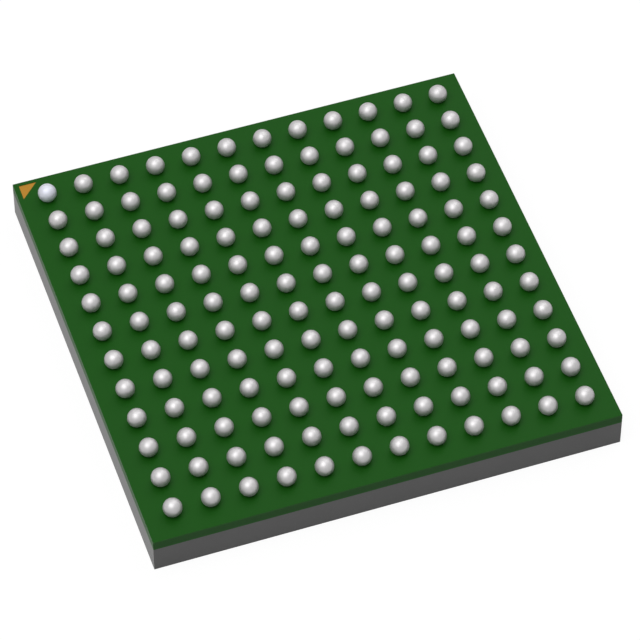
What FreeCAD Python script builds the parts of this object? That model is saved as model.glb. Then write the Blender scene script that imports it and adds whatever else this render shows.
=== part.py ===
import FreeCAD, Part
import math
import os

import Sketcher

# A ball grid array package, lying on its moulded face with its balls up.
# Lengths are in millimetres. The origin is the middle of the moulded face, +Z runs through the package
# to the balls, and the A1 corner is at -X, +Y. Ball rows A to M lie along +X, ball numbers 1 to 12 along -Y.

# Driving dimensions: alias, value, and what it measures
SIZES = [
    ("body_side", 10.0, "side of the square outline, moulding and board cut flush"),
    ("mould_height", 0.65, "moulding, from its marking face to the board"),
    ("core_thickness", 0.16, "glass and resin core of the board"),
    ("foil_thickness", 0.02, "copper on either side of the core"),
    ("mask_cover", 0.02, "mask over the copper"),
    ("ball_pitch", 0.8, "spacing of the balls both ways"),
    ("ball_count", 12, "balls along one side of the grid"),
    ("ball_diameter", 0.4, "diameter of a ball after it is attached"),
    ("seat_diameter", 0.24, "opening in the mask that holds a ball"),
    ("ball_pad_diameter", 0.34, "copper pad under a ball"),
    ("marker_leg", 0.39, "short sides of the corner triangle"),
    ("marker_inset_side", 0.112, "board's edge at -X to the triangle"),
    ("marker_inset_back", 0.082, "board's edge at +Y to the triangle"),
    ("dot_diameter", 0.6, "corner dot in the marking face"),
    ("dot_depth", 0.02, "depth of that dot"),
    ("dot_inset", 0.9, "middle of that dot from the two edges"),
    ("die_side", 5.0, "side of the square die"),
    ("die_thickness", 0.2, "die"),
    ("film_thickness", 0.025, "adhesive film between die and board"),
    ("bond_pad_side", 0.09, "square pad on the die"),
    ("bond_pad_thickness", 0.005, "that pad above the die's face"),
    ("bond_pad_pitch", 0.23, "spacing of the pads on the die"),
    ("bond_pad_inset", 0.08, "middle of a pad from the die's edge"),
    ("side_wires", 20, "wires along one side of the die"),
    ("wire_diameter", 0.025, "gold wire"),
    ("wire_foot_diameter", 0.055, "flattened ball or stitch at either end of a wire"),
    ("wire_foot_height", 0.015, "height of that foot"),
    ("loop_height", 0.13, "top of a wire's loop from its pad"),
    ("knee_length", 0.05, "length and depth of the slanting knee at the top of the loop"),
    ("wire_end_height", 0.0125, "middle of a wire's end above its finger, inside the stitch"),
    ("finger_pitch", 0.28, "spacing of the fingers that the wires land on"),
    ("finger_width", 0.12, "finger, along the die's side"),
    ("finger_start", 2.95, "inner end of the fingers from the middle"),
    ("finger_length", 0.25, "finger, away from the die"),
    ("window_start", 2.85, "inner edge of the ring left open in the mask"),
    ("window_width", 0.45, "width of that ring"),
    ("paddle_side", 5.5, "copper square under the die"),
    ("plane_side", 6.2, "copper square that joins the inner balls"),
    ("inner_count", 8, "balls along one side of that square"),
    ("trace_width", 0.05, "trace from a finger to its via"),
    ("neck_width", 0.08, "copper from a ball pad to its via"),
    ("land_diameter", 0.24, "copper round the end of a via"),
    ("drill_diameter", 0.15, "hole through the core for a via"),
    ("plug_diameter", 0.12, "resin inside the plated hole"),
    ("heat_via_count", 7, "vias along one side of the grid under the die"),
]

# Levels above the marking face, as expressions on the sheet
DIE_MASK_FACE = "Sizes.mould_height"
DIE_FOIL_FACE = "(Sizes.mould_height + Sizes.mask_cover)"
CORE_BASE = "(Sizes.mould_height + Sizes.mask_cover + Sizes.foil_thickness)"
CORE_TOP = f"({CORE_BASE} + Sizes.core_thickness)"
BALL_FOIL_FACE = f"({CORE_TOP} + Sizes.foil_thickness)"
MASK_THICKNESS = "(Sizes.foil_thickness + Sizes.mask_cover)"
DIE_BACK = "(Sizes.mould_height - Sizes.film_thickness)"
DIE_FACE = f"({DIE_BACK} - Sizes.die_thickness)"
BOND_PAD_FACE = f"({DIE_FACE} - Sizes.bond_pad_thickness)"

# Places in the plane, as expressions on the sheet
GRID_SPAN = "(Sizes.ball_pitch * (Sizes.ball_count - 1))"
RING_ONE = f"({GRID_SPAN} / 2)"
RING_TWO = f"({RING_ONE} - Sizes.ball_pitch)"
VIA_LINE = f"({RING_ONE} - Sizes.ball_pitch / 2)"
BOND_PAD_LINE = "(Sizes.die_side / 2 - Sizes.bond_pad_inset)"
FINGER_LINE = "(Sizes.finger_start + Sizes.finger_length / 2)"
FINGER_END = "(Sizes.finger_start + Sizes.finger_length)"
CORNER = "(Sizes.body_side / 2)"

ROW_LETTERS = "abcdefghjklm"
LAYER_SIDES = 4


# Sheet, sketches and features

def make_sheet(doc):
    """Writes the driving dimensions into the document's sheet."""
    sheet = doc.addObject("Spreadsheet::Sheet", "Sizes")
    for row, (alias, value, meaning) in enumerate(SIZES, start=1):
        sheet.set(f"A{row}", alias)
        sheet.set(f"B{row}", str(value))
        sheet.set(f"C{row}", meaning)
        sheet.setAlias(f"B{row}", alias)
    doc.recompute()
    return sheet


def size_of(doc, expression):
    """Reads an expression on the sheet as a plain number."""
    value = doc.Sizes.evalExpression(expression)
    return float(getattr(value, "Value", value))


def whole(doc, expression):
    """Reads a count from the sheet."""
    return int(round(size_of(doc, expression)))


def make_body(doc, name):
    """Starts a body that may hold several separate solids."""
    body = doc.addObject("PartDesign::Body", name)
    body.AllowCompound = True
    return body


def origin_part(body, role):
    """Finds one of a body's own planes or axes."""
    return next(item for item in body.Origin.OriginFeatures if item.Role == role)


def make_sketch(body, name, level="0", role="XY_Plane"):
    """Attaches a sketch to one of the body's planes, lifted to a level."""
    sketch = body.newObject("Sketcher::SketchObject", name)
    sketch.AttachmentSupport = [(origin_part(body, role), "")]
    sketch.MapMode = "FlatFace"
    sketch.setExpression("AttachmentOffset.Base.z", level)
    return sketch


def hold(sketch, kind, places, name, expression):
    """Adds a dimension to a sketch and binds it to the sheet."""
    value = size_of(sketch.Document, expression)
    index = sketch.addConstraint(Sketcher.Constraint(kind, *places, value))
    sketch.renameConstraint(index, name)
    sketch.setExpression(f".Constraints.{name}", expression)


def join_loop(sketch, edges):
    """Joins straight edges end to start into a closed loop."""
    for edge, following in zip(edges, edges[1:] + edges[:1]):
        sketch.addConstraint(Sketcher.Constraint("Coincident", edge, 2, following, 1))


def draw_rectangle(sketch, name, width, depth, middle=("0", "0")):
    """Draws a rectangle from its size and the place of its middle."""
    doc = sketch.Document
    half_x = size_of(doc, width) / 2
    half_y = size_of(doc, depth) / 2
    mid_x = size_of(doc, middle[0])
    mid_y = size_of(doc, middle[1])
    turns = ((-1, -1), (1, -1), (1, 1), (-1, 1))
    corners = [FreeCAD.Vector(mid_x + a * half_x, mid_y + b * half_y, 0) for a, b in turns]
    edges = []
    for start, end in zip(corners, corners[1:] + corners[:1]):
        edges.append(sketch.addGeometry(Part.LineSegment(start, end)))
    join_loop(sketch, edges)
    for edge, way in zip(edges, ("Horizontal", "Vertical", "Horizontal", "Vertical")):
        sketch.addConstraint(Sketcher.Constraint(way, edge))
    hold(sketch, "DistanceX", (edges[0], 1, edges[0], 2), f"{name}_width", width)
    hold(sketch, "DistanceY", (edges[1], 1, edges[1], 2), f"{name}_depth", depth)
    hold(sketch, "DistanceX", (-1, 1, edges[0], 1), f"{name}_left", f"{middle[0]} - {width} / 2")
    hold(sketch, "DistanceY", (-1, 1, edges[0], 1), f"{name}_front", f"{middle[1]} - {depth} / 2")


def draw_circle(sketch, name, diameter, middle=("0", "0")):
    """Draws a circle from its diameter and the place of its middle."""
    doc = sketch.Document
    centre = FreeCAD.Vector(size_of(doc, middle[0]), size_of(doc, middle[1]), 0)
    radius = size_of(doc, diameter) / 2
    circle = sketch.addGeometry(Part.Circle(centre, FreeCAD.Vector(0, 0, 1), radius))
    hold(sketch, "Diameter", (circle,), f"{name}_diameter", diameter)
    hold(sketch, "DistanceX", (-1, 1, circle, 3), f"{name}_x", middle[0])
    hold(sketch, "DistanceY", (-1, 1, circle, 3), f"{name}_y", middle[1])


def draw_strip(sketch, name, width, start, end):
    """Draws a strip of constant width along a middle line from start to end."""
    doc = sketch.Document
    first = FreeCAD.Vector(size_of(doc, start[0]), size_of(doc, start[1]), 0)
    last = FreeCAD.Vector(size_of(doc, end[0]), size_of(doc, end[1]), 0)
    along = (last - first).normalize()
    side = FreeCAD.Vector(-along.y, along.x, 0) * (size_of(doc, width) / 2)
    corners = [first - side, last - side, last + side, first + side]
    edges = []
    for a, b in zip(corners, corners[1:] + corners[:1]):
        edges.append(sketch.addGeometry(Part.LineSegment(a, b)))
    middle = sketch.addGeometry(Part.LineSegment(first, last), True)
    join_loop(sketch, edges)
    sketch.addConstraint(Sketcher.Constraint("Symmetric", edges[3], 1, edges[3], 2, middle, 1))
    sketch.addConstraint(Sketcher.Constraint("Symmetric", edges[1], 1, edges[1], 2, middle, 2))
    sketch.addConstraint(Sketcher.Constraint("Perpendicular", edges[3], middle))
    sketch.addConstraint(Sketcher.Constraint("Equal", edges[1], edges[3]))
    hold(sketch, "Distance", (edges[3],), f"{name}_width", width)
    hold(sketch, "DistanceX", (-1, 1, middle, 1), f"{name}_x_start", start[0])
    hold(sketch, "DistanceY", (-1, 1, middle, 1), f"{name}_y_start", start[1])
    hold(sketch, "DistanceX", (-1, 1, middle, 2), f"{name}_x_end", end[0])
    hold(sketch, "DistanceY", (-1, 1, middle, 2), f"{name}_y_end", end[1])


def make_pad(body, sketch, name, height, downward=False):
    """Raises a sketch into a solid."""
    pad = body.newObject("PartDesign::Pad", name)
    pad.Profile = sketch
    pad.Reversed = downward
    pad.setExpression("Length", height)
    return pad


def repeat_along(body, name, features, role, step, count):
    """Repeats features in a straight line along one of the body's axes."""
    pattern = body.newObject("PartDesign::LinearPattern", name)
    pattern.Originals = features
    pattern.Direction = (origin_part(body, role), [""])
    pattern.setExpression("Length", f"({step}) * (({count}) - 1)")
    pattern.setExpression("Occurrences", count)
    body.Tip = pattern
    return pattern


def repeat_on_four_sides(body, name):
    """Repeats everything in the body so far on the package's four sides."""
    body.Document.recompute()
    pattern = body.newObject("PartDesign::PolarPattern", name)
    pattern.TransformMode = "Whole shape"
    pattern.Axis = (origin_part(body, "Z_Axis"), [""])
    pattern.Angle = 360
    pattern.Occurrences = LAYER_SIDES
    body.Tip = pattern
    return pattern


def repeat_in_grid(body, name, feature, step, count):
    """Repeats one feature in a square grid, from its lowest corner."""
    grid = body.newObject("PartDesign::MultiTransform", name)
    grid.Originals = [feature]
    lines = []
    for way, role in (("Across", "X_Axis"), ("Along", "Y_Axis")):
        line = body.newObject("PartDesign::LinearPattern", f"{name}{way}")
        line.Direction = (origin_part(body, role), [""])
        line.setExpression("Length", f"({step}) * (({count}) - 1)")
        line.setExpression("Occurrences", count)
        lines.append(line)
    grid.Transformations = lines
    body.Tip = grid
    return grid


def make_cut(doc, name, base, tools):
    """Takes the tools away from the base."""
    cut = doc.addObject("Part::Cut", name)
    cut.Refine = False
    cut.Base = base
    if len(tools) == 1:
        cut.Tool = tools[0]
        return cut
    group = doc.addObject("Part::Compound", f"{name}Tools")
    group.Links = tools
    cut.Tool = group
    return cut


# Places along one side, as expressions on the sheet

def from_middle(index, count, step):
    """Place of one of an even row of things centred on the side."""
    return f"({step} * ({index} - ({count} - 1) / 2))"


def via_place(index):
    """Place along the side of the via of one finger; the first is out at the corner ball."""
    if index == 0:
        return f"(-{RING_ONE})"
    return f"(-{VIA_LINE} + Sizes.ball_pitch / 2 * {index})"


# Solder balls

def make_ball_profile(body):
    """Half outline of a ball: its neck in the mask, then an arc up to its top on the axis."""
    doc = body.Document
    sketch = make_sketch(body, f"{body.Name}Outline", role="XZ_Plane")
    neck = size_of(doc, "Sizes.seat_diameter / 2")
    radius = size_of(doc, "Sizes.ball_diameter / 2")
    foot = size_of(doc, BALL_FOIL_FACE)
    face = foot + size_of(doc, "Sizes.mask_cover")
    middle = face + math.sqrt(radius ** 2 - neck ** 2)
    point = FreeCAD.Vector
    base = sketch.addGeometry(Part.LineSegment(point(0, foot, 0), point(neck, foot, 0)))
    wall = sketch.addGeometry(Part.LineSegment(point(neck, foot, 0), point(neck, face, 0)))
    circle = Part.Circle(point(0, middle, 0), point(0, 0, 1), radius)
    arc_start = math.atan2(face - middle, neck)
    arc = sketch.addGeometry(Part.ArcOfCircle(circle, arc_start, math.pi / 2))
    axis = sketch.addGeometry(Part.LineSegment(point(0, middle + radius, 0), point(0, foot, 0)))
    sketch.addConstraint(Sketcher.Constraint("Coincident", base, 2, wall, 1))
    sketch.addConstraint(Sketcher.Constraint("Coincident", wall, 2, arc, 1))
    sketch.addConstraint(Sketcher.Constraint("Coincident", arc, 2, axis, 1))
    sketch.addConstraint(Sketcher.Constraint("Coincident", axis, 2, base, 1))
    sketch.addConstraint(Sketcher.Constraint("Horizontal", base))
    sketch.addConstraint(Sketcher.Constraint("Vertical", wall))
    sketch.addConstraint(Sketcher.Constraint("Vertical", axis))
    sketch.addConstraint(Sketcher.Constraint("PointOnObject", arc, 3, -2))
    sketch.addConstraint(Sketcher.Constraint("PointOnObject", base, 1, -2))
    hold(sketch, "DistanceY", (-1, 1, base, 1), "foot_level", BALL_FOIL_FACE)
    hold(sketch, "DistanceX", (base, 1, base, 2), "neck_radius", "Sizes.seat_diameter / 2")
    hold(sketch, "DistanceY", (wall, 1, wall, 2), "neck_height", "Sizes.mask_cover")
    hold(sketch, "Radius", (arc,), "ball_radius", "Sizes.ball_diameter / 2")
    return sketch


def make_balls(doc, label, column, first, count):
    """A straight line of balls from one place towards +Y."""
    name = "".join(word.capitalize() for word in label.split("_"))
    body = make_body(doc, name)
    sketch = make_ball_profile(body)
    ball = body.newObject("PartDesign::Revolution", f"{name}Ball")
    ball.Profile = sketch
    ball.ReferenceAxis = (sketch, ["V_Axis"])
    ball.Angle = 360
    body.Tip = ball
    if count != "1":
        repeat_along(body, f"{name}Line", [ball], "Y_Axis", "Sizes.ball_pitch", count)
    body.setExpression("Placement.Base.x", column)
    body.setExpression("Placement.Base.y", first)
    body.Label = label
    return body


def make_all_balls(doc):
    """The A1 ball by itself, then one line of balls for each row letter."""
    low = f"-{RING_ONE}"
    balls = [make_balls(doc, "solder_ball_a1", low, RING_ONE, "1")]
    for index, letter in enumerate(ROW_LETTERS):
        column = f"{low} + Sizes.ball_pitch * {index}"
        count = "Sizes.ball_count - 1" if index == 0 else "Sizes.ball_count"
        balls.append(make_balls(doc, f"solder_balls_row_{letter}", column, low, count))
    return balls


# Vias

def draw_via(sketch, diameters, middle):
    """One circle for a column, or two for a tube."""
    for index, diameter in enumerate(diameters):
        draw_circle(sketch, f"via{index}", diameter, middle)


def make_via_field(doc, name, diameters):
    """Columns or tubes through the core at every via: a grid under the die, and a line along each side."""
    body = make_body(doc, name)
    line_start = make_sketch(body, f"{name}LineCircle", CORE_BASE)
    draw_via(line_start, diameters, (via_place(1), VIA_LINE))
    line_column = make_pad(body, line_start, f"{name}LineColumn", "Sizes.core_thickness")
    count = "Sizes.side_wires - 1"
    repeat_along(body, f"{name}Line", [line_column], "X_Axis", "Sizes.ball_pitch / 2", count)
    corner = make_sketch(body, f"{name}CornerCircle", CORE_BASE)
    draw_via(corner, diameters, (via_place(0), VIA_LINE))
    make_pad(body, corner, f"{name}CornerColumn", "Sizes.core_thickness")
    repeat_on_four_sides(body, f"{name}Sides")
    heat_start = "(-Sizes.ball_pitch * (Sizes.heat_via_count - 1) / 2)"
    heat = make_sketch(body, f"{name}HeatCircle", CORE_BASE)
    draw_via(heat, diameters, (heat_start, heat_start))
    column = make_pad(body, heat, f"{name}HeatColumn", "Sizes.core_thickness")
    repeat_in_grid(body, f"{name}HeatGrid", column, "Sizes.ball_pitch", "Sizes.heat_via_count")
    return body


# Board

def make_slab(doc, name, base, height):
    """A square layer as wide as the package."""
    body = make_body(doc, name)
    sketch = make_sketch(body, f"{name}Outline", base)
    draw_rectangle(sketch, "layer", "Sizes.body_side", "Sizes.body_side")
    make_pad(body, sketch, f"{name}Layer", height)
    return body


def make_core(doc, drills):
    """The board's core with a hole for every via."""
    slab = make_slab(doc, "CoreSlab", CORE_BASE, "Sizes.core_thickness")
    core = make_cut(doc, "Core", slab, [drills])
    core.Label = "laminate_core"
    return core


def add_lands(body, level):
    """Round land of each via along one side."""
    line = make_sketch(body, f"{body.Name}LandCircle", level)
    draw_circle(line, "land", "Sizes.land_diameter", (via_place(1), VIA_LINE))
    land = make_pad(body, line, f"{body.Name}Land", "Sizes.foil_thickness")
    count = "Sizes.side_wires - 1"
    repeat_along(body, f"{body.Name}Lands", [land], "X_Axis", "Sizes.ball_pitch / 2", count)
    corner = make_sketch(body, f"{body.Name}CornerLandCircle", level)
    draw_circle(corner, "land", "Sizes.land_diameter", (via_place(0), VIA_LINE))
    make_pad(body, corner, f"{body.Name}CornerLand", "Sizes.foil_thickness")


def add_square_plane(body, level, side):
    """A square of copper in the middle of the board."""
    sketch = make_sketch(body, f"{body.Name}PlaneOutline", level)
    draw_rectangle(sketch, "plane", side, side)
    make_pad(body, sketch, f"{body.Name}Plane", "Sizes.foil_thickness")


def make_die_side_copper(doc):
    """Fingers round the die, a trace from each to its via's land, and the square under the die."""
    body = make_body(doc, "DieSideCopper")
    for index in range(whole(doc, "Sizes.side_wires")):
        trace = make_sketch(body, f"TraceOutline{index}", DIE_FOIL_FACE)
        finger = from_middle(index, "Sizes.side_wires", "Sizes.finger_pitch")
        end = (finger, f"({FINGER_END} - Sizes.trace_width)")
        draw_strip(trace, "trace", "Sizes.trace_width", (via_place(index), VIA_LINE), end)
        make_pad(body, trace, f"Trace{index}", "Sizes.foil_thickness")
    add_lands(body, DIE_FOIL_FACE)
    first = from_middle(0, "Sizes.side_wires", "Sizes.finger_pitch")
    outline = make_sketch(body, "FingerOutline", DIE_FOIL_FACE)
    draw_rectangle(outline, "finger", "Sizes.finger_width", "Sizes.finger_length", (first, FINGER_LINE))
    pad = make_pad(body, outline, "Finger", "Sizes.foil_thickness")
    repeat_along(body, "Fingers", [pad], "X_Axis", "Sizes.finger_pitch", "Sizes.side_wires")
    repeat_on_four_sides(body, "DieSideCopperSides")
    add_square_plane(body, DIE_FOIL_FACE, "Sizes.paddle_side")
    body.Label = "die_side_copper"
    return body


def make_ball_side_copper(doc):
    """Pads of the two outer rings of balls, a neck from each to its via, and the inner balls' square."""
    body = make_body(doc, "BallSideCopper")
    add_lands(body, CORE_TOP)
    inner_start = f"(-{RING_TWO})"
    rings = (
        ("Outer", f"(-{RING_ONE})", RING_ONE, "0", "Sizes.ball_count - 1"),
        ("Inner", inner_start, RING_TWO, "Sizes.ball_pitch / 2", "Sizes.ball_count - 3"),
    )
    for ring, place, line, shift, count in rings:
        circle = make_sketch(body, f"{ring}PadCircle", CORE_TOP)
        draw_circle(circle, "pad", "Sizes.ball_pad_diameter", (place, line))
        pad = make_pad(body, circle, f"{ring}Pad", "Sizes.foil_thickness")
        neck_outline = make_sketch(body, f"{ring}NeckOutline", CORE_TOP)
        via = (f"({place} + {shift})", VIA_LINE)
        draw_strip(neck_outline, "neck", "Sizes.neck_width", (place, line), via)
        neck = make_pad(body, neck_outline, f"{ring}Neck", "Sizes.foil_thickness")
        repeat_along(body, f"{ring}Pads", [pad, neck], "X_Axis", "Sizes.ball_pitch", count)
    repeat_on_four_sides(body, "BallSideCopperSides")
    add_square_plane(body, CORE_TOP, "Sizes.plane_side")
    body.Label = "ball_side_copper"
    return body


def draw_window(sketch):
    """The square ring round the die that the mask leaves open over the fingers."""
    outer = "2 * (Sizes.window_start + Sizes.window_width)"
    draw_rectangle(sketch, "outer", f"({outer})", f"({outer})")
    draw_rectangle(sketch, "inner", "(2 * Sizes.window_start)", "(2 * Sizes.window_start)")


def make_die_side_mask(doc, copper):
    """Mask on the moulded side: it fills round the copper and leaves a ring open over the fingers."""
    slab = make_slab(doc, "DieSideMaskSlab", DIE_MASK_FACE, MASK_THICKNESS)
    outline = make_sketch(slab, "MaskWindowOutline", DIE_MASK_FACE)
    draw_window(outline)
    window = slab.newObject("PartDesign::Pocket", "MaskWindow")
    window.Profile = outline
    window.Reversed = True
    window.setExpression("Length", MASK_THICKNESS)
    mask = make_cut(doc, "DieSideMask", slab, [copper])
    mask.Label = "die_side_mask"
    return mask


def draw_marker(sketch):
    """Right-angled triangle with its square corner towards the A1 corner."""
    doc = sketch.Document
    left = size_of(doc, f"Sizes.marker_inset_side - {CORNER}")
    back = size_of(doc, f"{CORNER} - Sizes.marker_inset_back")
    leg = size_of(doc, "Sizes.marker_leg")
    places = ((left, back), (left, back - leg), (left + leg, back))
    corners = [FreeCAD.Vector(along, across, 0) for along, across in places]
    edges = []
    for start, end in zip(corners, corners[1:] + corners[:1]):
        edges.append(sketch.addGeometry(Part.LineSegment(start, end)))
    join_loop(sketch, edges)
    sketch.addConstraint(Sketcher.Constraint("Vertical", edges[0]))
    sketch.addConstraint(Sketcher.Constraint("Horizontal", edges[2]))
    sketch.addConstraint(Sketcher.Constraint("Equal", edges[0], edges[2]))
    hold(sketch, "DistanceX", (edges[2], 2, edges[2], 1), "leg", "Sizes.marker_leg")
    hold(sketch, "DistanceX", (-1, 1, edges[0], 1), "left", f"Sizes.marker_inset_side - {CORNER}")
    hold(sketch, "DistanceY", (-1, 1, edges[0], 1), "back", f"{CORNER} - Sizes.marker_inset_back")


def make_marker_plate(doc, name, height):
    """A plate of the triangle's outline on the core."""
    body = make_body(doc, name)
    sketch = make_sketch(body, f"{name}Outline", CORE_TOP)
    draw_marker(sketch)
    make_pad(body, sketch, f"{name}Plate", height)
    return body


def make_seats(doc):
    """Round openings of the mask at every ball."""
    body = make_body(doc, "Seats")
    circle = make_sketch(body, "SeatCircle", BALL_FOIL_FACE)
    draw_circle(circle, "seat", "Sizes.seat_diameter", (f"(-{RING_ONE})", f"(-{RING_ONE})"))
    seat = make_pad(body, circle, "Seat", "Sizes.mask_cover")
    repeat_in_grid(body, "SeatGrid", seat, "Sizes.ball_pitch", "Sizes.ball_count")
    return body


def make_ball_side_mask(doc, copper):
    """Mask on the ball side: round the copper, with a seat for each ball and the triangle's opening."""
    slab = make_slab(doc, "BallSideMaskSlab", CORE_TOP, MASK_THICKNESS)
    opening = make_marker_plate(doc, "MarkerOpening", MASK_THICKNESS)
    mask = make_cut(doc, "BallSideMask", slab, [copper, make_seats(doc), opening])
    mask.Label = "ball_side_mask"
    return mask


# Die and wires

def make_square_block(doc, label, side, base, height):
    """A square block in the middle of the package."""
    name = "".join(word.capitalize() for word in label.split("_"))
    body = make_body(doc, name)
    sketch = make_sketch(body, f"{name}Outline", base)
    draw_rectangle(sketch, "block", side, side)
    make_pad(body, sketch, f"{name}Block", height)
    body.Label = label
    return body


def make_bond_pads(doc):
    """Square pads along the four edges of the die's face, which looks at the marking face."""
    body = make_body(doc, "BondPads")
    sketch = make_sketch(body, "BondPadOutline", BOND_PAD_FACE)
    first = from_middle(0, "Sizes.side_wires", "Sizes.bond_pad_pitch")
    draw_rectangle(sketch, "pad", "Sizes.bond_pad_side", "Sizes.bond_pad_side", (first, BOND_PAD_LINE))
    pad = make_pad(body, sketch, "BondPad", "Sizes.bond_pad_thickness")
    repeat_along(body, "BondPadLine", [pad], "X_Axis", "Sizes.bond_pad_pitch", "Sizes.side_wires")
    repeat_on_four_sides(body, "BondPadSides")
    body.Label = "die_bond_pads"
    return body


def draw_wire_path(sketch, reach):
    """Path of a wire in its own upright plane: off its pad, over a knee and on a slope into its stitch."""
    doc = sketch.Document
    top = f"({BOND_PAD_FACE} - Sizes.loop_height)"
    places = (
        ("0", BOND_PAD_FACE),
        ("0", f"({top} + Sizes.knee_length)"),
        ("Sizes.knee_length", top),
        (reach, f"({DIE_FOIL_FACE} - Sizes.wire_end_height)"),
    )
    points = [FreeCAD.Vector(size_of(doc, along), size_of(doc, level), 0) for along, level in places]
    runs = []
    for start, end in zip(points, points[1:]):
        runs.append(sketch.addGeometry(Part.LineSegment(start, end)))
    for run, following in zip(runs, runs[1:]):
        sketch.addConstraint(Sketcher.Constraint("Coincident", run, 2, following, 1))
    sketch.addConstraint(Sketcher.Constraint("PointOnObject", runs[0], 1, -2))
    sketch.addConstraint(Sketcher.Constraint("Vertical", runs[0]))
    hold(sketch, "DistanceY", (-1, 1, runs[0], 1), "level_0", places[0][1])
    hold(sketch, "DistanceY", (-1, 1, runs[0], 2), "level_1", places[1][1])
    for index, run in enumerate(runs[1:], start=2):
        hold(sketch, "DistanceX", (-1, 1, run, 2), f"along_{index}", places[index][0])
        hold(sketch, "DistanceY", (-1, 1, run, 2), f"level_{index}", places[index][1])


def make_bond_wires(doc):
    """Fans of wires from the die to the fingers: half a side is drawn, mirrored, and set on four sides."""
    body = make_body(doc, "BondWires")
    half = whole(doc, "Sizes.side_wires") // 2
    bonds = make_sketch(body, "BondCircles", BOND_PAD_FACE)
    stitches = make_sketch(body, "StitchCircles", DIE_FOIL_FACE)
    rise = f"({FINGER_LINE} - {BOND_PAD_LINE})"
    wires = []
    for index in range(half):
        pad_x = f"(Sizes.bond_pad_pitch * {index + 0.5})"
        finger_x = f"(Sizes.finger_pitch * {index + 0.5})"
        reach = f"hypot({finger_x} - {pad_x}; {rise})"
        turn = f"-atan2({finger_x} - {pad_x}; {rise})"
        path = make_sketch(body, f"WirePath{index}", pad_x, "YZ_Plane")
        upright = FreeCAD.Rotation(FreeCAD.Vector(0, 1, 0), -1)
        path.AttachmentOffset = FreeCAD.Placement(FreeCAD.Vector(0, 0, 0), upright)
        path.setExpression("AttachmentOffset.Base.x", BOND_PAD_LINE)
        path.setExpression("AttachmentOffset.Rotation.Angle", turn)
        draw_wire_path(path, reach)
        section = make_sketch(body, f"WireSection{index}", BOND_PAD_FACE)
        draw_circle(section, "wire", "Sizes.wire_diameter", (pad_x, BOND_PAD_LINE))
        wire = body.newObject("PartDesign::AdditivePipe", f"Wire{index}")
        wire.Profile = section
        wire.Spine = path
        wire.Transition = "Right corner"
        wires.append(wire)
        draw_circle(bonds, f"foot{index}", "Sizes.wire_foot_diameter", (pad_x, BOND_PAD_LINE))
        draw_circle(stitches, f"foot{index}", "Sizes.wire_foot_diameter", (finger_x, FINGER_LINE))
    make_pad(body, bonds, "BondFeet", "Sizes.wire_foot_height", downward=True)
    make_pad(body, stitches, "StitchFeet", "Sizes.wire_foot_height", downward=True)
    doc.recompute()
    mirror = body.newObject("PartDesign::Mirrored", "OtherHalf")
    mirror.TransformMode = "Whole shape"
    mirror.MirrorPlane = (origin_part(body, "YZ_Plane"), [""])
    body.Tip = mirror
    repeat_on_four_sides(body, "WireSides")
    body.Label = "bond_wires"
    return body


# Moulding

def make_mould_cap(doc, buried):
    """The moulding, which fills the mask's window and everything round the die and the wires."""
    body = make_slab(doc, "MouldBlock", "0", "Sizes.mould_height")
    window = make_sketch(body, "WindowFillOutline", DIE_MASK_FACE)
    draw_window(window)
    make_pad(body, window, "WindowFill", MASK_THICKNESS)
    outline = make_sketch(body, "DotCircle", "0")
    place = (f"(Sizes.dot_inset - {CORNER})", f"({CORNER} - Sizes.dot_inset)")
    draw_circle(outline, "dot", "Sizes.dot_diameter", place)
    dot = body.newObject("PartDesign::Pocket", "Dot")
    dot.Profile = outline
    dot.Reversed = True
    dot.setExpression("Length", "Sizes.dot_depth")
    body.Tip = dot
    cap = make_cut(doc, "MouldCap", body, buried)
    cap.Label = "mould_cap"
    return cap


# Whole package

def make_package(doc):
    """Builds every piece and returns the ones to write."""
    make_sheet(doc)
    drills = make_via_field(doc, "Drills", ["Sizes.drill_diameter"])
    plugs = make_via_field(doc, "Plugs", ["Sizes.plug_diameter"])
    plugs.Label = "via_plugs"
    barrels = make_via_field(doc, "Barrels", ["Sizes.drill_diameter", "Sizes.plug_diameter"])
    barrels.Label = "via_barrels"
    core = make_core(doc, drills)
    die_copper = make_die_side_copper(doc)
    ball_copper = make_ball_side_copper(doc)
    die_mask = make_die_side_mask(doc, die_copper)
    ball_mask = make_ball_side_mask(doc, ball_copper)
    marker = make_marker_plate(doc, "Marker", f"({MASK_THICKNESS} - Sizes.foil_thickness / 2)")
    marker.Label = "a1_marker"
    die = make_square_block(doc, "silicon_die", "Sizes.die_side", DIE_FACE, "Sizes.die_thickness")
    film = make_square_block(doc, "die_attach_film", "Sizes.die_side", DIE_BACK, "Sizes.film_thickness")
    bond_pads = make_bond_pads(doc)
    wires = make_bond_wires(doc)
    cap = make_mould_cap(doc, [die_copper, die, film, bond_pads, wires])
    board = [core, barrels, plugs, die_copper, die_mask, ball_copper, ball_mask, marker]
    return [cap, die, film, bond_pads, wires] + board + make_all_balls(doc)


def check_objects(doc, pieces):
    """Stops if an object failed or a piece is empty or unsound."""
    doc.recompute()
    for item in doc.Objects:
        if {"Invalid", "Error"} & set(item.State):
            raise RuntimeError(f"{item.Name} failed: {item.State}")
    for piece in pieces:
        if piece.Shape.isNull() or not piece.Shape.isValid():
            raise RuntimeError(f"{piece.Label} has no sound shape")


def write_pieces(pieces):
    """Writes each piece to its own file, named by its label."""
    os.makedirs("parts", exist_ok=True)
    for piece in pieces:
        piece.Shape.exportStep(os.path.join("parts", f"{piece.Label}.step"))
        shape = piece.Shape
        print(f"{piece.Label}: {len(shape.Solids)} solids, {shape.Volume:.5f} mm3")


def main():
    """Builds and writes the package."""
    doc = FreeCAD.newDocument("BallGridArray")
    pieces = make_package(doc)
    check_objects(doc, pieces)
    write_pieces(pieces)


main()
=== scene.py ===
"""A ball grid array package, lying on its moulded face with its grid of solder balls up."""

import logging
import math
from collections.abc import Mapping, Sequence
from dataclasses import dataclass, field
from enum import Enum

import bmesh
import bpy
from mathutils import Matrix, Vector


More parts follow.
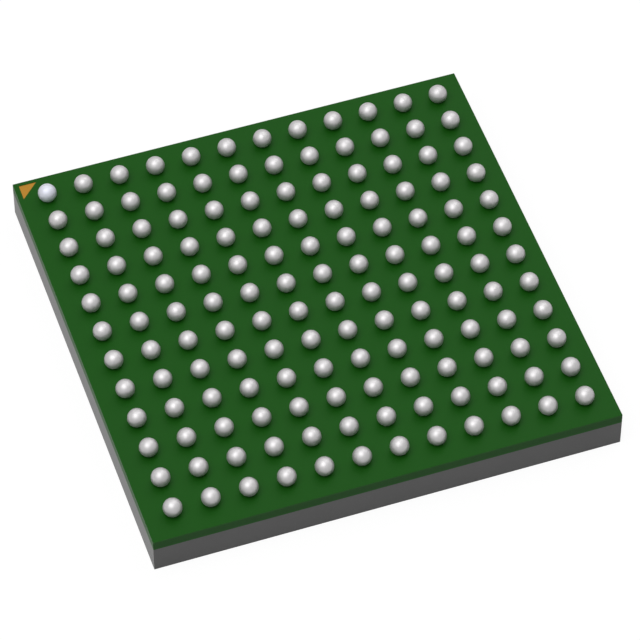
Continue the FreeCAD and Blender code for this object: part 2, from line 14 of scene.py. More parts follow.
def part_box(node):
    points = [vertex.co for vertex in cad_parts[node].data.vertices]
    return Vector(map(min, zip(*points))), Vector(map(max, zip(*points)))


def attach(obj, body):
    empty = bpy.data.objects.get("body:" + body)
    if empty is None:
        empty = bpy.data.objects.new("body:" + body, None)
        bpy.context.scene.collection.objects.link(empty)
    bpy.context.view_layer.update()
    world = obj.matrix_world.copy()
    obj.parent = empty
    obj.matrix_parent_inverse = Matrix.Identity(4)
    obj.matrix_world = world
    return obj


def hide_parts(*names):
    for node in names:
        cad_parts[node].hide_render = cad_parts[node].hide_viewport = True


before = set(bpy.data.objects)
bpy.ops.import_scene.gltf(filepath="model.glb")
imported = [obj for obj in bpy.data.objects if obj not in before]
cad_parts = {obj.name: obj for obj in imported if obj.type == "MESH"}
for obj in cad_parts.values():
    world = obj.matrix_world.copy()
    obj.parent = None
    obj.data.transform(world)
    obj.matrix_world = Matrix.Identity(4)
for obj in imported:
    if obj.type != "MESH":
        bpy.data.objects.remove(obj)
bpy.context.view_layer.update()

MILLIMETRE = 0.001
MICROMETRE = 0.000001
WHITE = (1.0, 1.0, 1.0, 1.0)
NOISE_MIDDLE = 0.5
NOISE_ROUGHNESS = 0.55
BODY = "root"
ROW_LETTERS = "abcdefghjklm"

Colour = tuple[float, float, float]

log = logging.getLogger("package")


class Light(Enum):
    """The lamps' jobs, which are their names in the scene."""

    KEY = "key_softbox"
    TOP = "top_softbox"
    RIM = "rim_softbox"


class SolderTone(Enum):
    """How pale a ball's solder is."""

    GRID = "grid"
    CORNER = "corner"


# Node trees

class Signal:
    """One output socket, so that shader maths reads as Python arithmetic."""

    def __init__(self, tree: bpy.types.NodeTree, socket: bpy.types.NodeSocket) -> None:
        """Keeps the socket and the tree it is in.

        Args:
            tree: the node tree that new Math nodes go into.
            socket: the output socket.
        """
        self.tree = tree
        self.socket = socket

    def _math(
        self, operation: str, first: "Signal | float", second: "Signal | float"
    ) -> "Signal":
        """Adds a Math node.

        Args:
            operation: the node's operation.
            first: its first value.
            second: its second value.

        Returns:
            The node's result.
        """
        node = self.tree.nodes.new("ShaderNodeMath")
        node.operation = operation
        for socket, value in zip(node.inputs, (first, second)):
            feed(self.tree, socket, value)
        return Signal(self.tree, node.outputs[0])

    def __add__(self, other: "Signal | float") -> "Signal":
        """Sum."""
        return self._math("ADD", self, other)

    def __radd__(self, other: float) -> "Signal":
        """Sum with a number on the left."""
        return self._math("ADD", other, self)

    def __sub__(self, other: "Signal | float") -> "Signal":
        """Difference."""
        return self._math("SUBTRACT", self, other)

    def __rsub__(self, other: float) -> "Signal":
        """Difference from a number."""
        return self._math("SUBTRACT", other, self)

    def __mul__(self, other: "Signal | float") -> "Signal":
        """Product."""
        return self._math("MULTIPLY", self, other)

    def __rmul__(self, other: float) -> "Signal":
        """Product with a number on the left."""
        return self._math("MULTIPLY", other, self)

    def larger(self, other: "Signal | float") -> "Signal":
        """The larger of two values."""
        return self._math("MAXIMUM", self, other)

    def over(self, level: float) -> "Signal":
        """How far the value is over a level, and 0 below it."""
        return (self - level).larger(0.0)

    def mixed(self, other: "Signal", share: float) -> "Signal":
        """This value mixed with another, which has the given share."""
        return (1.0 - share) * self + share * other

    def around(self, middle: float, spread: float) -> "Signal":
        """Moves a noise from 0 to 1 about a middle, with the given spread from end to end."""
        return middle + (self - NOISE_MIDDLE) * spread


def feed(tree: bpy.types.NodeTree, socket: bpy.types.NodeSocket, value: object) -> None:
    """Links a signal to a socket, or sets the socket to a plain value.

    Args:
        tree: the tree of the socket's node.
        socket: the input socket.
        value: a Signal, or what the socket's default_value takes.
    """
    if isinstance(value, Signal):
        tree.links.new(value.socket, socket)
    else:
        socket.default_value = value


class TreeBuilder:
    """Adds nodes to one shader or geometry tree."""

    def __init__(self, tree: bpy.types.NodeTree) -> None:
        """Keeps the tree."""
        self.tree = tree

    def node(
        self,
        kind: str,
        settings: Mapping[str, object] | None = None,
        inputs: Mapping[str, object] | None = None,
    ) -> bpy.types.Node:
        """Adds any node: its settings first, then its sockets.

        Args:
            kind: the node's type.
            settings: properties of the node.
            inputs: values or signals by socket identifier.

        Returns:
            The node.
        """
        node = self.tree.nodes.new(kind)
        for name, value in (settings or {}).items():
            setattr(node, name, value)
        sockets = {socket.identifier: socket for socket in node.inputs}
        for name, value in (inputs or {}).items():
            feed(self.tree, sockets[name], value)
        return node

    def signal(
        self,
        kind: str,
        settings: Mapping[str, object] | None = None,
        inputs: Mapping[str, object] | None = None,
        output: str | None = None,
    ) -> Signal:
        """Adds a node and returns one of its outputs.

        Args:
            kind: the node's type.
            settings: properties of the node.
            inputs: values or signals by socket identifier.
            output: identifier of the output, or None for the first one.

        Returns:
            That output.
        """
        node = self.node(kind, settings, inputs)
        sockets = {socket.identifier: socket for socket in node.outputs}
        return Signal(self.tree, sockets[output] if output else node.outputs[0])

    def mix(self, amount: Signal, first: Signal, second: Signal) -> Signal:
        """Mixes two shaders.

        Args:
            amount: 0 for the first shader, 1 for the second.
            first: one shader.
            second: the other shader.

        Returns:
            The mixed shader.
        """
        return self.signal(
            "ShaderNodeMixShader", None, {"Fac": amount, "Shader": first, "Shader_001": second}
        )


@dataclass(frozen=True)
class Grain:
    """A noise pattern of a finish.

    Attributes:
        size: size of its blotches, in metres.
        detail: octaves of finer noise in it.
        stretch: how much longer the blotches are along X, Y and Z.
    """

    size: float
    detail: float = 2.0
    stretch: tuple[float, float, float] = (1.0, 1.0, 1.0)


class Shade(TreeBuilder):
    """One material under construction."""

    def __init__(self, name: str) -> None:
        """Starts an empty material.

        Args:
            name: the material's name.
        """
        self.material = bpy.data.materials.new(name)
        self.material.use_nodes = True
        super().__init__(self.material.node_tree)
        self.tree.nodes.clear()
        self.place = self.signal("ShaderNodeTexCoord", output="Object")

    def noise(self, grain: Grain) -> Signal:
        """Noise on Object coordinates.

        Args:
            grain: its pattern.

        Returns:
            The noise, from 0 to 1.
        """
        place = self.signal(
            "ShaderNodeVectorMath",
            {"operation": "MULTIPLY"},
            {
                "Vector": self.place,
                "Vector_001": [1.0 / (grain.size * along) for along in grain.stretch],
            },
        )
        return self.signal(
            "ShaderNodeTexNoise",
            {"noise_dimensions": "3D"},
            {
                "Vector": place,
                "Scale": 1.0,
                "Detail": grain.detail,
                "Roughness": NOISE_ROUGHNESS,
            },
        )

    def blend(self, amount: Signal, low: Sequence[float], high: Sequence[float]) -> Signal:
        """Mixes two colours.

        Args:
            amount: 0 for the low colour, 1 for the high one.
            low: linear red, green and blue.
            high: linear red, green and blue.

        Returns:
            The mixed colour.
        """
        return self.signal(
            "ShaderNodeMix",
            {"data_type": "RGBA"},
            {"Factor_Float": amount, "A_Color": (*low, 1.0), "B_Color": (*high, 1.0)},
            "Result_Color",
        )

    def relief(self, height: Signal, depth: float) -> Signal:
        """Turns a height from 0 to 1 into a bumped normal.

        Args:
            height: the height.
            depth: the height's full depth, in metres.

        Returns:
            The normal.
        """
        return self.signal(
            "ShaderNodeBump", None, {"Height": height, "Distance": depth, "Strength": 1.0}
        )

    def finish(self, sockets: Mapping[str, object]) -> bpy.types.Material:
        """Ends the material with one Principled shader.

        Args:
            sockets: values or signals of the shader's sockets.

        Returns:
            The material.
        """
        shader = self.signal("ShaderNodeBsdfPrincipled", None, sockets)
        self.node("ShaderNodeOutputMaterial", None, {"Surface": shader})
        return self.material


def linear(red: int, green: int, blue: int) -> Colour:
    """Turns a colour as a screen shows it into linear light, by the sRGB curve.

    Args:
        red: 0 to 255.
        green: 0 to 255.
        blue: 0 to 255.

    Returns:
        Linear red, green and blue from 0 to 1.
    """
    def channel(value: int) -> float:
        """One channel of the curve."""
        share = value / 255.0
        return share / 12.92 if share <= 0.04045 else ((share + 0.055) / 1.055) ** 2.4

    return channel(red), channel(green), channel(blue)


def scaled(colour: Sequence[float], factor: float) -> tuple[float, ...]:
    """A colour made lighter or darker by a factor."""
    return tuple(part * factor for part in colour)


# Finishes

@dataclass(frozen=True)
class MaskFinish:
    """Green solder mask: smooth cured resin with a faint unevenness of colour and surface.

    Attributes:
        name: the material's name.
        colour: its middle colour.
        uneven: how far the colour strays, as a share of it.
        cloud: broad pattern of colour and gloss.
        speck: fine pattern of colour.
        speck_share: the fine pattern's share of the colour.
        ripple: pattern of the surface.
        depth: depth of the ripple.
        roughness: middle roughness.
        spread: how much the roughness varies.
        ior: index of refraction, low for a weak sheen.
    """

    name: str = "green_mask"
    colour: Colour = linear(20, 81, 12)
    uneven: float = 0.06
    cloud: Grain = Grain(1.6 * MILLIMETRE, 3.0)
    speck: Grain = Grain(0.05 * MILLIMETRE)
    speck_share: float = 0.3
    ripple: Grain = Grain(0.16 * MILLIMETRE)
    depth: float = 0.6 * MICROMETRE
    roughness: float = 0.45
    spread: float = 0.12
    ior: float = 1.2

    def build(self) -> bpy.types.Material:
        """Makes the material.

        Returns:
            The material.
        """
        shade = Shade(self.name)
        cloud = shade.noise(self.cloud)
        tone = shade.blend(
            cloud.mixed(shade.noise(self.speck), self.speck_share),
            scaled(self.colour, 1.0 - self.uneven),
            scaled(self.colour, 1.0 + self.uneven),
        )
        return shade.finish({
            "Base Color": tone,
            "Roughness": cloud.around(self.roughness, self.spread),
            "IOR": self.ior,
            "Normal": shade.relief(shade.noise(self.ripple), self.depth),
        })


@dataclass(frozen=True)
class MouldFinish:
    """Dark grey moulding compound: matte, with pale filler specks and fine saw lines on its sides.

    Attributes:
        name: the material's name.
        colour: the resin's colour.
        filler: the filler's colour.
        speck: pattern of the filler.
        speck_level: where in its noise a speck begins.
        speck_strength: how fast a speck pales over that level.
        cloud: broad pattern of colour.
        cloud_strength: how much of the filler's colour the broad pattern adds.
        saw: pattern of the saw lines, long in X and Y.
        saw_share: the saw lines' share of the surface.
        depth: depth of the surface.
        roughness: middle roughness.
        spread: how much the roughness varies.
        ior: index of refraction, low for a weak sheen.
    """

    name: str = "mould_compound"
    colour: Colour = linear(100, 100, 100)
    filler: Colour = linear(122, 122, 122)
    speck: Grain = Grain(0.022 * MILLIMETRE, 3.0)
    speck_level: float = 0.55
    speck_strength: float = 2.4
    cloud: Grain = Grain(0.9 * MILLIMETRE)
    cloud_strength: float = 0.25
    saw: Grain = Grain(0.02 * MILLIMETRE, 2.0, (60.0, 60.0, 1.0))
    saw_share: float = 0.6
    depth: float = 1.2 * MICROMETRE
    roughness: float = 0.38
    spread: float = 0.2
    ior: float = 1.25

    def build(self) -> bpy.types.Material:
        """Makes the material.

        Returns:
            The material.
        """
        shade = Shade(self.name)
        speck = shade.noise(self.speck)
        cloud = shade.noise(self.cloud)
        amount = speck.over(self.speck_level) * self.speck_strength + cloud * self.cloud_strength
        return shade.finish({
            "Base Color": shade.blend(amount, self.colour, self.filler),
            "Roughness": speck.around(self.roughness, self.spread),
            "IOR": self.ior,
            "Normal": shade.relief(
                speck.mixed(shade.noise(self.saw), self.saw_share), self.depth
            ),
        })


@dataclass(frozen=True)
class LaminateFinish:
    """Sawn edge of the board's core: green resin with the paler ends of the glass yarns in it.

    Attributes:
        name: the material's name.
        resin: the resin's colour.
        glass: the glass's colour.
        yarn: pattern of the yarns, long in X and Y.
        yarn_strength: how fast the glass shows over the yarn noise's middle.
        fibre: fine pattern of single fibres.
        fibre_strength: how much of the glass's colour the fibres add.
        fibre_share: the fibres' share of the surface.
        depth: depth of the surface.
        roughness: middle roughness.
        spread: how much the roughness varies.
        ior: index of refraction, low for a weak sheen.
    """

    name: str = "glass_laminate"
    resin: Colour = linear(19, 72, 14)
    glass: Colour = linear(27, 82, 21)
    yarn: Grain = Grain(0.02 * MILLIMETRE, 2.0, (7.0, 7.0, 1.0))
    yarn_strength: float = 1.56
    fibre: Grain = Grain(0.012 * MILLIMETRE)
    fibre_strength: float = 0.15
    fibre_share: float = 0.5
    depth: float = 1.5 * MICROMETRE
    roughness: float = 0.5
    spread: float = 0.2
    ior: float = 1.2

    def build(self) -> bpy.types.Material:
        """Makes the material.

        Returns:
            The material.
        """
        shade = Shade(self.name)
        yarn = shade.noise(self.yarn)
        fibre = shade.noise(self.fibre)
        amount = yarn.over(NOISE_MIDDLE) * self.yarn_strength + fibre * self.fibre_strength
        return shade.finish({
            "Base Color": shade.blend(amount, self.resin, self.glass),
            "Roughness": fibre.around(self.roughness, self.spread),
            "IOR": self.ior,
            "Normal": shade.relief(yarn.mixed(fibre, self.fibre_share), self.depth),
        })


@dataclass(frozen=True)
class SolderFinish:
    """Solder after it has been melted: pale metal with soft, slightly grainy reflections.

    Attributes:
        tone: which balls it is for.
        colour: its palest colour.
        dark: its darkest colour, as a share of the palest.
        edge: tint of the reflections at grazing angles.
        grain: fine pattern of colour and surface.
        cloud: broad pattern of gloss and surface.
        cloud_share: the broad pattern's share of the surface.
        depth: depth of the surface.
        roughness: middle roughness.
        spread: how much the roughness varies.
        metallic: how far it reflects as metal.
        ior: index of refraction, for the rest.
    """

    tone: SolderTone
    colour: Colour
    dark: float = 0.95
    edge: float = 0.5
    grain: Grain = Grain(0.03 * MILLIMETRE, 3.0)
    cloud: Grain = Grain(0.18 * MILLIMETRE)
    cloud_share: float = 0.4
    depth: float = 0.5 * MICROMETRE
    roughness: float = 0.45
    spread: float = 0.1
    metallic: float = 0.5
    ior: float = 1.25

    def build(self) -> bpy.types.Material:
        """Makes the material.

        Returns:
            The material.
        """
        shade = Shade(f"solder_{self.tone.value}")
        grain = shade.noise(self.grain)
        cloud = shade.noise(self.cloud)
        return shade.finish({
            "Base Color": shade.blend(grain, scaled(self.colour, self.dark), self.colour),
            "Metallic": self.metallic,
            "IOR": self.ior,
            "Specular Tint": (self.edge, self.edge, self.edge, 1.0),
            "Roughness": cloud.around(self.roughness, self.spread),
            "Normal": shade.relief(grain.mixed(cloud, self.cloud_share), self.depth),
        })


@dataclass(frozen=True)
class MetalFinish:
    """Plated, drawn or sputtered metal with a fine grain.

    Attributes:
        name: the material's name.
        colour: its palest colour.
        roughness: middle roughness.
        grain: fine pattern of colour, gloss and surface.
        depth: depth of the grain.
        cloud_ratio: how many times broader than the grain the clouds of colour are.
        cloud_share: the clouds' share of the colour.
        dark: its darkest colour, as a share of the palest.
        spread: how much the roughness varies.
    """

    name: str
    colour: Colour
    roughness: float
    grain: Grain
    depth: float
    cloud_ratio: float = 12.0
    cloud_share: float = 0.5
    dark: float = 0.88
    spread: float = 0.2

    def build(self) -> bpy.types.Material:
        """Makes the material.

        Returns:
            The material.
        """
        shade = Shade(self.name)
        grain = shade.noise(self.grain)
        cloud = shade.noise(Grain(self.grain.size * self.cloud_ratio))
        tone = shade.blend(
            grain.mixed(cloud, self.cloud_share), scaled(self.colour, self.dark), self.colour
        )
        return shade.finish({
            "Base Color": tone,
            "Metallic": 1.0,
            "Roughness": grain.around(self.roughness, self.spread),
            "Normal": shade.relief(grain, self.depth),
        })


@dataclass(frozen=True)
class ResinFinish:
    """Cured resin, adhesive or bare silicon inside the package.

    Attributes:
        name: the material's name.
        colour: its own colour.
        roughness: middle roughness.
        grain: pattern of colour, gloss and surface.
        dark: its darkest colour, as a share of its own.
        light: its palest colour, as a share of its own.
        spread: how much the roughness varies.
        depth: depth of the grain.
    """

    name: str
    colour: Colour
    roughness: float
    grain: Grain
    dark: float = 0.85
    light: float = 1.1
    spread: float = 0.15
    depth: float = 0.5 * MICROMETRE

    def build(self) -> bpy.types.Material:
        """Makes the material.

        Returns:
            The material.
        """
        shade = Shade(self.name)
        grain = shade.noise(self.grain)
        tone = shade.blend(grain, scaled(self.colour, self.dark), scaled(self.colour, self.light))
        return shade.finish({
            "Base Color": tone,
            "Roughness": grain.around(self.roughness, self.spread),
            "Normal": shade.relief(grain, self.depth),
        })


# Pieces

def dress(node: str, material: bpy.types.Material) -> None:
    """Gives a carried-over node its material.

    Args:
        node: the node's name.
        material: its finish.
    """
    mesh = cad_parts[node].data
    mesh.materials.clear()
    mesh.materials.append(material)
    log.info("%s: %d faces in %s", node, len(mesh.polygons), material.name)


def put(name: str, data: bpy.types.ID) -> bpy.types.Object:
    """Makes an object at the origin and puts it in the scene.

    Args:
        name: the object's name.
        data: its mesh, lamp or camera data.

    Returns:
        The object.
    """
    thing = bpy.data.objects.new(name, data)
    bpy.context.scene.collection.objects.link(thing)
    return thing


@dataclass
class Moulding:
    """The moulded body."""

    node: str = "mould_cap"
    finish: MouldFinish = MouldFinish()

    def build(self) -> None:
        """Dresses the moulding."""
        dress(self.node, self.finish.build())


@dataclass
class Board:
    """The board: core, plated vias, copper and mask on both sides, and the corner triangle."""

    masks: tuple[str, str] = ("die_side_mask", "ball_side_mask")
    coppers: tuple[str, str, str] = ("die_side_copper", "ball_side_copper", "via_barrels")
    core: str = "laminate_core"
    plugs: str = "via_plugs"
    marker: str = "a1_marker"
    mask_finish: MaskFinish = MaskFinish()
    core_finish: LaminateFinish = LaminateFinish()
    copper_finish: MetalFinish = MetalFinish(
        name="plated_copper",
        colour=linear(222, 150, 118),
        roughness=0.35,
        grain=Grain(0.01 * MILLIMETRE, 3.0),
        depth=0.4 * MICROMETRE,
    )
    marker_finish: MetalFinish = MetalFinish(
        name="gold_plate",
        colour=linear(155, 112, 43),
        roughness=0.45,
        grain=Grain(0.012 * MILLIMETRE, 3.0),
        depth=0.6 * MICROMETRE,
    )
    plug_finish: ResinFinish = ResinFinish(
        name="via_resin",
        colour=linear(214, 206, 176),
        roughness=0.6,
        grain=Grain(0.01 * MILLIMETRE, 3.0),
    )

    def build(self) -> None:
        """Dresses every layer."""
        mask = self.mask_finish.build()
        for node in self.masks:
            dress(node, mask)
        copper = self.copper_finish.build()
        for node in self.coppers:
            dress(node, copper)
        dress(self.core, self.core_finish.build())
        dress(self.plugs, self.plug_finish.build())
        dress(self.marker, self.marker_finish.build())


@dataclass
class DieAndWires:
    """What is moulded in: the die on its film, the pads on it and the wires to the board."""

    die: str = "silicon_die"
    film: str = "die_attach_film"
    pads: str = "die_bond_pads"
    wires: str = "bond_wires"
    die_finish: ResinFinish = ResinFinish(
        name="polished_silicon",
        colour=linear(92, 94, 104),
        roughness=0.2,
        grain=Grain(0.4 * MILLIMETRE, 3.0),
    )
    film_finish: ResinFinish = ResinFinish(
        name="adhesive_film",
        colour=linear(190, 176, 140),
        roughness=0.6,
        grain=Grain(0.02 * MILLIMETRE, 3.0),
    )
    pad_finish: MetalFinish = MetalFinish(
        name="pad_aluminium",
        colour=linear(232, 233, 236),
        roughness=0.25,
        grain=Grain(0.006 * MILLIMETRE, 3.0),
        depth=0.2 * MICROMETRE,
    )
    wire_finish: MetalFinish = MetalFinish(
        name="gold_wire",
        colour=linear(255, 214, 122),
        roughness=0.2,
        grain=Grain(0.008 * MILLIMETRE, 3.0),
        depth=0.1 * MICROMETRE,
    )

    def build(self) -> None:
        """Dresses the moulded-in pieces."""
        dress(self.die, self.die_finish.build())
        dress(self.film, self.film_finish.build())
        dress(self.pads, self.pad_finish.build())
        dress(self.wires, self.wire_finish.build())


@dataclass
class BallGrid:
    """The solder balls: one smooth ball shape, set out in lines where the frame has its rows.

    Attributes:
        pitch: from ball to ball.
        segments: faces around a ball.
        steps: rows of faces from a ball's neck to its tip.
        neck_depth: how far the neck goes down into its seat in the mask.
        weld: points closer than this are one.
        corner_node: the node of the ball at A1.
        board_face: the node whose upper face the balls stand out of.
        slot: a slot name for the balls; not used.
        grid_finish: the finish of all balls but the one at A1.
        corner_finish: the finish of the ball at A1.
        radius: the ball's radius, from the frame.
        middle: height of the ball's middle, from the frame.
        face: height of the board's face, from the frame.
    """

    pitch: float = 0.8 * MILLIMETRE
    segments: int = 28
    steps: int = 14
    neck_depth: float = 0.02 * MILLIMETRE
    weld: float = 0.01 * MICROMETRE
    corner_node: str = "solder_ball_a1"
    board_face: str = "ball_side_mask"
    slot: str = "solder"
    grid_finish: SolderFinish = SolderFinish(SolderTone.GRID, linear(204, 202, 203))
    corner_finish: SolderFinish = SolderFinish(
        SolderTone.CORNER, linear(229, 231, 243), roughness=0.5, metallic=0.3
    )
    radius: float = field(init=False)
    middle: float = field(init=False)
    face: float = field(init=False)

    def __post_init__(self) -> None:
        """Reads the ball's size from the frame: its width, its tip and the mask's face."""
        low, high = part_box(self.corner_node)
        self.radius = (high.x - low.x) / 2
        self.middle = high.z - self.radius
        self.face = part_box(self.board_face)[1].z

    def _profile(self) -> list[tuple[float, float]]:
        """Half outline of a ball about its own middle.

        Returns:
            Distance from the axis and height, from the foot of the neck to the tip.
        """
        lift = self.middle - self.face
        neck = math.sqrt(self.radius ** 2 - lift ** 2)
        start = -math.asin(lift / self.radius)
        outline = [(0.0, -lift - self.neck_depth), (neck, -lift - self.neck_depth)]
        for step in range(self.steps):
            angle = start + (math.pi / 2 - start) * step / self.steps
            outline.append((self.radius * math.cos(angle), self.radius * math.sin(angle)))
        outline.append((0.0, self.radius))
        return outline

    def _ball_shape(self) -> bpy.types.Object:
        """Turns the half outline about its axis.

        Returns:
            A ball about the origin, for the lines to repeat.
        """
        shape = bmesh.new()
        outline = [shape.verts.new((along, 0.0, height)) for along, height in self._profile()]
        edges = [shape.edges.new(pair) for pair in zip(outline, outline[1:])]
        bmesh.ops.spin(
            shape,
            geom=outline + edges,
            cent=(0.0, 0.0, 0.0),
            axis=(0.0, 0.0, 1.0),
            angle=math.tau,
            steps=self.segments,
            use_merge=True,
        )
        bmesh.ops.remove_doubles(shape, verts=shape.verts, dist=self.weld)
        bmesh.ops.recalc_face_normals(shape, faces=shape.faces)
        seat = self.face - self.middle
        for face in shape.faces:
            face.smooth = face.calc_center_median().z > seat
        mesh = bpy.data.meshes.new("ball_shape")
        shape.to_mesh(mesh)
        shape.free()
        return put("ball_shape", mesh)

    @staticmethod
    def _line_tree() -> bpy.types.NodeTree:
        """Makes the tree that sets copies of a ball in a straight line along Y.

        Returns:
            The tree, with inputs for the ball, its finish, the count, the pitch and the first
            place.
        """
        tree = bpy.data.node_groups.new("ball_line", "GeometryNodeTree")
        kinds = (
            ("Geometry", "NodeSocketGeometry"),
            ("Ball", "NodeSocketObject"),
            ("Finish", "NodeSocketMaterial"),
            ("Count", "NodeSocketInt"),
            ("Pitch", "NodeSocketFloat"),
            ("First", "NodeSocketVector"),
        )
        for name, kind in kinds:
            tree.interface.new_socket(name=name, in_out="INPUT", socket_type=kind)
        name, kind = kinds[0]
        tree.interface.new_socket(name=name, in_out="OUTPUT", socket_type=kind)
        maker = TreeBuilder(tree)
        given = {
            socket.name: Signal(tree, socket) for socket in maker.node("NodeGroupInput").outputs
        }
        ball = maker.signal(
            "GeometryNodeObjectInfo",
            {"transform_space": "ORIGINAL"},
            {"Object": given["Ball"]},
            "Geometry",
        )
        line = maker.signal(
            "GeometryNodeMeshLine",
            {"mode": "OFFSET", "count_mode": "TOTAL"},
            {
                "Count": given["Count"],
                "Start Location": given["First"],
                "Offset": maker.signal("ShaderNodeCombineXYZ", None, {"Y": given["Pitch"]}),
            },
        )
        copies = maker.signal(
            "GeometryNodeInstanceOnPoints", None, {"Points": line, "Instance": ball}
        )
        real = maker.signal("GeometryNodeRealizeInstances", None, {"Geometry": copies})
        dressed = maker.signal(
            "GeometryNodeSetMaterial", None, {"Geometry": real, "Material": given["Finish"]}
        )
        result = maker.node("NodeGroupOutput")
        tree.links.new(dressed.socket, result.inputs["Geometry"])
        return tree

    def _line(
        self,
        tree: bpy.types.NodeTree,
        ball: bpy.types.Object,
        node: str,
        finish: bpy.types.Material,
    ) -> None:
        """Makes the piece that stands for one node of balls.

        Args:
            tree: the tree that repeats the ball.
            ball: the ball's shape.
            node: the node that the piece replaces.
            finish: the balls' material.
        """
        low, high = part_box(node)
        count = round((high.y - low.y - 2 * self.radius) / self.pitch) + 1
        reach = self.pitch * (count - 1)
        name = node.replace("solder_", "")
        carrier = put(f"{name}_carrier", bpy.data.meshes.new(f"{name}_carrier"))
        modifier = carrier.modifiers.new("line", "NODES")
        modifier.node_group = tree
        values = {
            "Ball": ball,
            "Finish": finish,
            "Count": count,
            "Pitch": self.pitch,
            "First": Vector(((low.x + high.x) / 2, (low.y + high.y - reach) / 2, self.middle)),
        }
        for item in tree.interface.items_tree:
            if item.in_out == "INPUT" and item.name in values:
                modifier[item.identifier] = values[item.name]
        bpy.context.view_layer.update()
        seen = carrier.evaluated_get(bpy.context.evaluated_depsgraph_get())
        mesh = bpy.data.meshes.new_from_object(seen)
        mesh.name = name
        bpy.data.objects.remove(carrier)
        piece = put(name, mesh)
        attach(piece, BODY)
        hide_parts(node)
        log.info("%s: %d balls, %d faces, for %s", name, count, len(mesh.polygons), node)

    def build(self) -> None:
        """Makes every line of balls and the corner ball."""
        ball = self._ball_shape()
        tree = self._line_tree()
        finish = self.grid_finish.build()
        for letter in ROW_LETTERS:
            self._line(tree, ball, f"solder_balls_row_{letter}", finish)
        self._line(tree, ball, self.corner_node, self.corner_finish.build())
        bpy.data.objects.remove(ball)


# Studio

def stand(target: Vector, azimuth: float, elevation: float, distance: float) -> Matrix:
    """Where a lamp or camera stands, turned to look at its target.

    Args:
        target: what it looks at.
        azimuth: degrees about +Z, 0 at the front (-Y), positive towards +X.
        elevation: degrees over the floor.
        distance: from the target, in metres.

    Returns:
        Its place and turn.
    """
    turn = math.radians(azimuth)
    rise = math.radians(elevation)
    away = Vector(
        (math.sin(turn) * math.cos(rise), -math.cos(turn) * math.cos(rise), math.sin(rise))
    )
    aim = away.to_track_quat("Z", "Y").to_matrix().to_4x4()
    return Matrix.Translation(target + away * distance) @ aim


def background_ray(maker: TreeBuilder) -> Signal:
    """Tells rays that show the surroundings, seen directly or reflected, from all others.

    Args:
        maker: the tree that needs it.

    Returns:
        1 on such a ray and 0 on any other.
    """
    path = maker.node("ShaderNodeLightPath")
    camera, glossy, transmission = (
        Signal(maker.tree, path.outputs[name])
        for name in ("Is Camera Ray", "Is Glossy Ray", "Is Transmission Ray")
    )
    return camera.larger(glossy).larger(transmission)


@dataclass(frozen=True)
class Lamp:
    """One square softbox aimed at the middle of the package.

    Attributes:
        job: what it is for, and its name.
        azimuth: degrees about +Z from the front.
        elevation: degrees over the floor.
        distance: from the package, in metres.
        side: its width, in metres.
        power: in watts.
    """

    job: Light
    azimuth: float
    elevation: float
    distance: float
    side: float
    power: float

    def build(self) -> None:
        """Puts the lamp in the scene."""
        data = bpy.data.lights.new(self.job.value, "AREA")
        data.shape = "SQUARE"
        data.size = self.side
        data.energy = self.power
        lamp = put(self.job.value, data)
        lamp.matrix_world = stand(Vector(), self.azimuth, self.elevation, self.distance)
        log.info(
            "%s: %.3f W from %.0f, %.0f", lamp.name, self.power, self.azimuth, self.elevation
        )


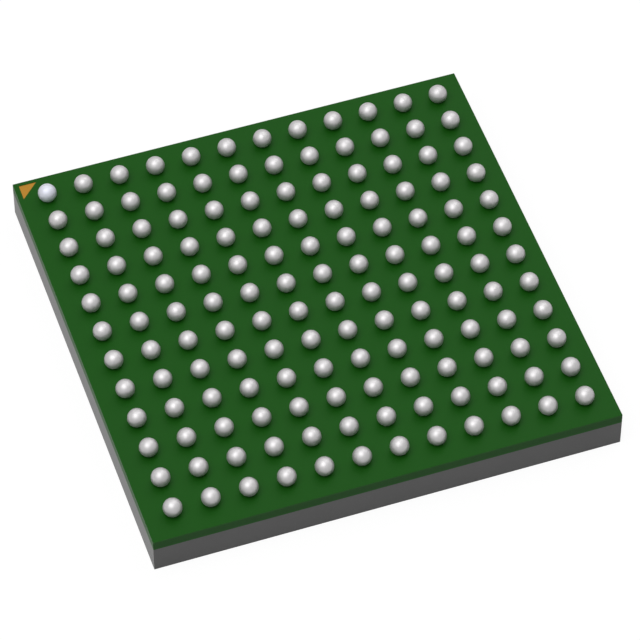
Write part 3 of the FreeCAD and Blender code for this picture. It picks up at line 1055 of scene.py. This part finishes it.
@dataclass
class Studio:
    """Pale floor, white surroundings and soft light.

    Attributes:
        floor_radius: the floor's radius.
        floor_sides: corners of its round edge.
        floor_gap: how far it lies under the package, so that the two faces never meet.
        floor_colour: its matte colour, which the lamps light.
        floor_white: strength of the white that it shows, so that the mix with its matte part is 1.
        shadow_share: the matte part's share at the package, which carries the shadow.
        shadow_reach: how far out that share ends.
        sky_light: strength of the surroundings as light; they are seen at 1.
        lamps: the softboxes.
    """

    floor_radius: float = 0.6
    floor_sides: int = 96
    floor_gap: float = 5.0 * MICROMETRE
    floor_colour: Colour = (0.8, 0.8, 0.8)
    floor_white: float = 1.07
    shadow_share: float = 0.15
    shadow_reach: float = 60.0 * MILLIMETRE
    sky_light: float = 0.03
    lamps: tuple[Lamp, ...] = (
        Lamp(Light.KEY, azimuth=-61.0, elevation=66.0, distance=0.12, side=0.1, power=0.087),
        Lamp(Light.TOP, azimuth=165.0, elevation=74.0, distance=0.12, side=0.15, power=0.044),
        Lamp(Light.RIM, azimuth=125.0, elevation=50.0, distance=0.12, side=0.08, power=0.02),
    )

    def _floor_finish(self) -> bpy.types.Material:
        """Makes the floor's material: white to the eye, darker in the shadow, clear from below.

        Returns:
            The material.
        """
        shade = Shade("floor_white")
        matte = shade.signal("ShaderNodeBsdfDiffuse", None, {"Color": (*self.floor_colour, 1.0)})
        white = shade.signal(
            "ShaderNodeEmission", None, {"Color": WHITE, "Strength": self.floor_white}
        )
        distance = shade.signal(
            "ShaderNodeVectorMath", {"operation": "LENGTH"}, {"Vector": shade.place}, "Value"
        )
        near = (1.0 - distance * (1.0 / self.shadow_reach)).larger(0.0)
        amount = background_ray(shade) * (1.0 - near * self.shadow_share)
        clear = shade.signal("ShaderNodeBsdfTransparent")
        below = shade.signal("ShaderNodeNewGeometry", output="Backfacing")
        surface = shade.mix(below, shade.mix(amount, matte, white), clear)
        shade.node("ShaderNodeOutputMaterial", None, {"Surface": surface})
        return shade.material

    def _floor(self) -> None:
        """Lays the floor."""
        shape = bmesh.new()
        bmesh.ops.create_circle(
            shape, cap_ends=True, segments=self.floor_sides, radius=self.floor_radius
        )
        bmesh.ops.translate(shape, verts=shape.verts, vec=(0.0, 0.0, -self.floor_gap))
        mesh = bpy.data.meshes.new("floor")
        shape.to_mesh(mesh)
        shape.free()
        mesh.materials.append(self._floor_finish())
        floor = put("floor", mesh)
        log.info("floor: %.1f m in radius", self.floor_radius)

    def _sky(self) -> None:
        """Sets the surroundings: white to the eye, weaker as light."""
        world = bpy.data.worlds.new("surroundings")
        world.use_nodes = True
        world.node_tree.nodes.clear()
        maker = TreeBuilder(world.node_tree)
        light, white = (
            maker.signal("ShaderNodeBackground", None, {"Color": WHITE, "Strength": strength})
            for strength in (self.sky_light, 1.0)
        )
        sky = maker.mix(background_ray(maker), light, white)
        maker.node("ShaderNodeOutputWorld", None, {"Surface": sky})
        bpy.context.scene.world = world

    def build(self) -> None:
        """Makes floor, surroundings and lamps."""
        self._floor()
        self._sky()
        for lamp in self.lamps:
            lamp.build()


@dataclass(frozen=True)
class Viewpoint:
    """The camera, as fitted to the photograph.

    Attributes:
        target: the point it looks at, in metres.
        azimuth: degrees about +Z from the front.
        elevation: degrees over the floor.
        distance: from the target, in metres.
        lens: focal length, in millimetres.
        sensor: width of the sensor, in millimetres.
        nearest: start of its range, in metres.
        furthest: end of its range, in metres.
    """

    target: tuple[float, float, float] = (
        -0.01389 * MILLIMETRE,
        -0.64596 * MILLIMETRE,
        0.89 * MILLIMETRE,
    )
    azimuth: float = -18.8534
    elevation: float = 50.5277
    distance: float = 86.066 * MILLIMETRE
    lens: float = 233.735
    sensor: float = 36.0
    nearest: float = 1.0 * MILLIMETRE
    furthest: float = 10.0

    def build(self) -> None:
        """Makes the camera and gives it to the scene."""
        data = bpy.data.cameras.new("camera")
        data.lens = self.lens
        data.sensor_width = self.sensor
        data.clip_start = self.nearest
        data.clip_end = self.furthest
        camera = put("camera", data)
        camera.matrix_world = stand(
            Vector(self.target), self.azimuth, self.elevation, self.distance
        )
        bpy.context.scene.camera = camera
        log.info("camera at %s", tuple(round(part, 5) for part in camera.matrix_world.translation))


def main() -> None:
    """Builds the package and its studio."""
    logging.basicConfig(level=logging.INFO, format="%(name)s %(message)s")
    bpy.context.scene.view_settings.view_transform = "Standard"
    Viewpoint().build()
    Moulding().build()
    Board().build()
    DieAndWires().build()
    BallGrid().build()
    Studio().build()


if __name__ == "__main__":
    main()
